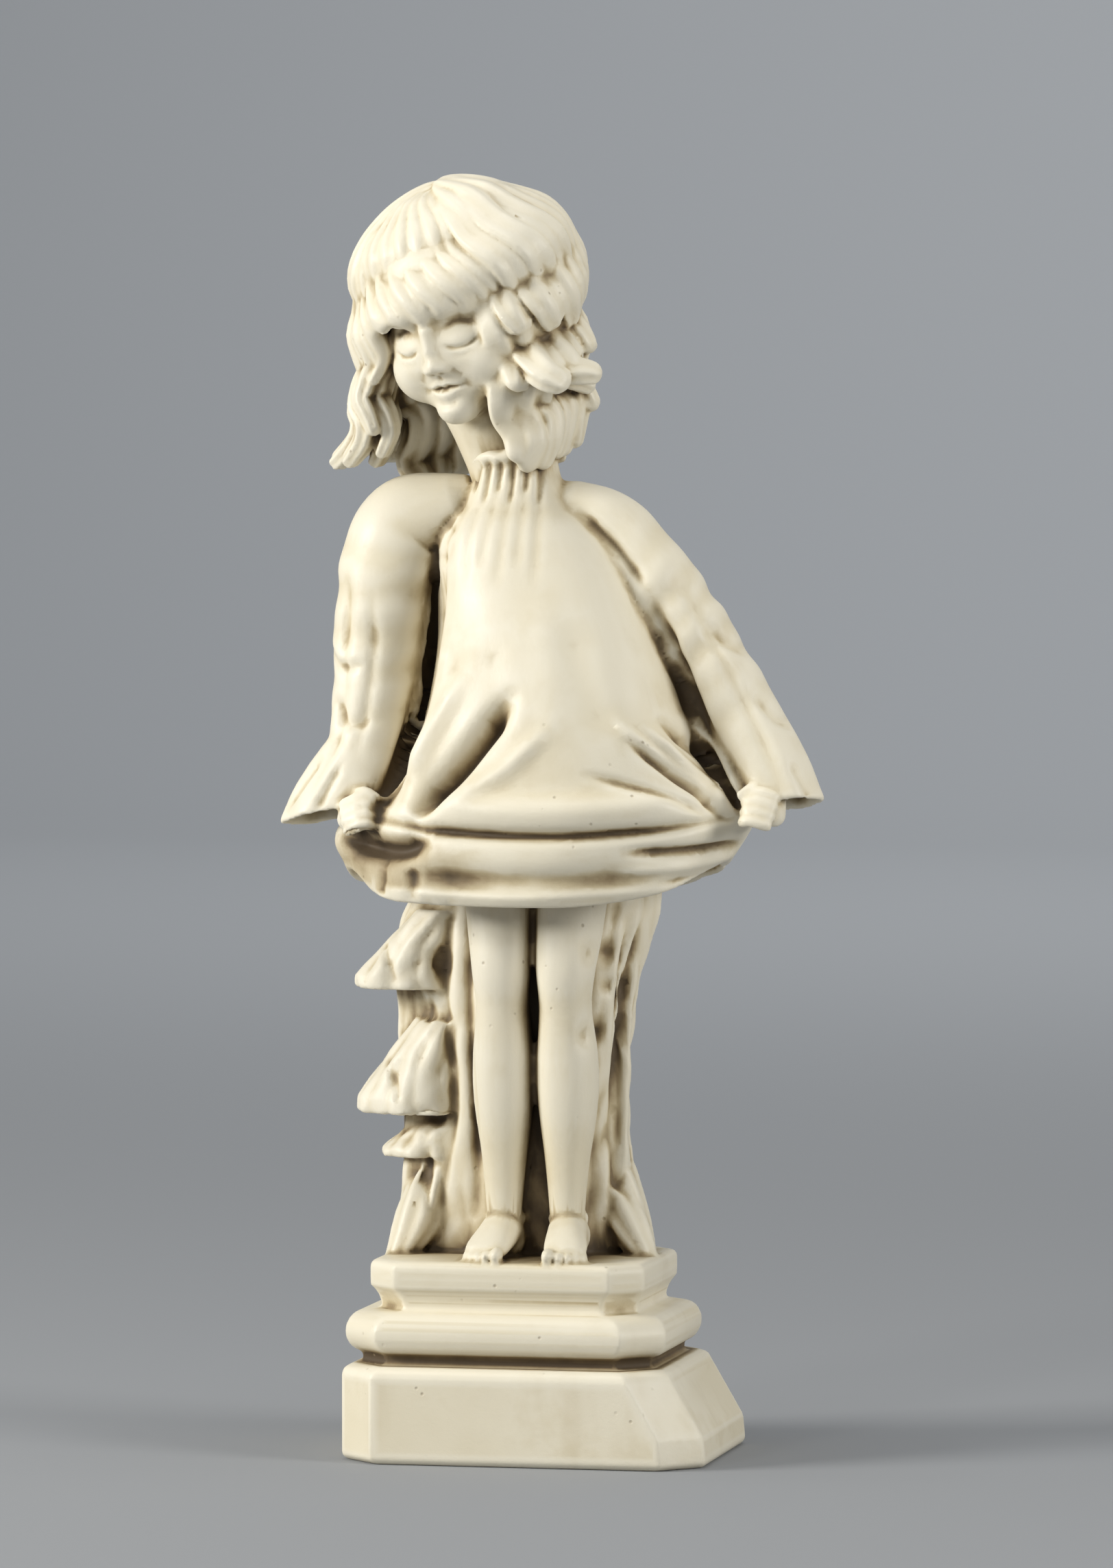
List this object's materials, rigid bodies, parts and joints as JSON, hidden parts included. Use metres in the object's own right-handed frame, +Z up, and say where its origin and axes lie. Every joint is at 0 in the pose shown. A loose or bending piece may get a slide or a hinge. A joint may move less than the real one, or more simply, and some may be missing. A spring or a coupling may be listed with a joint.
{
  "type": "plaster statuette",
  "caption": "Ivory plaster statuette of a little girl in a long-sleeved smock who holds out its hem, in front of a tree stump on a stepped base.",
  "frame": {"origin": "centre of the base block's flat underside, at its full width without the tucked edge", "axes": "+Z up, -Y out of the front, +X to the viewer's right when looking at the front"},
  "size_m": [0.17, 0.0936, 0.3981],
  "materials": {
    "plaster": "ivory plaster with a faint wax sheen and brown patina in the hollows"
  },
  "bodies": {
    "root": {"plaster_figure": "plaster"}
  },
  "joints": []
}
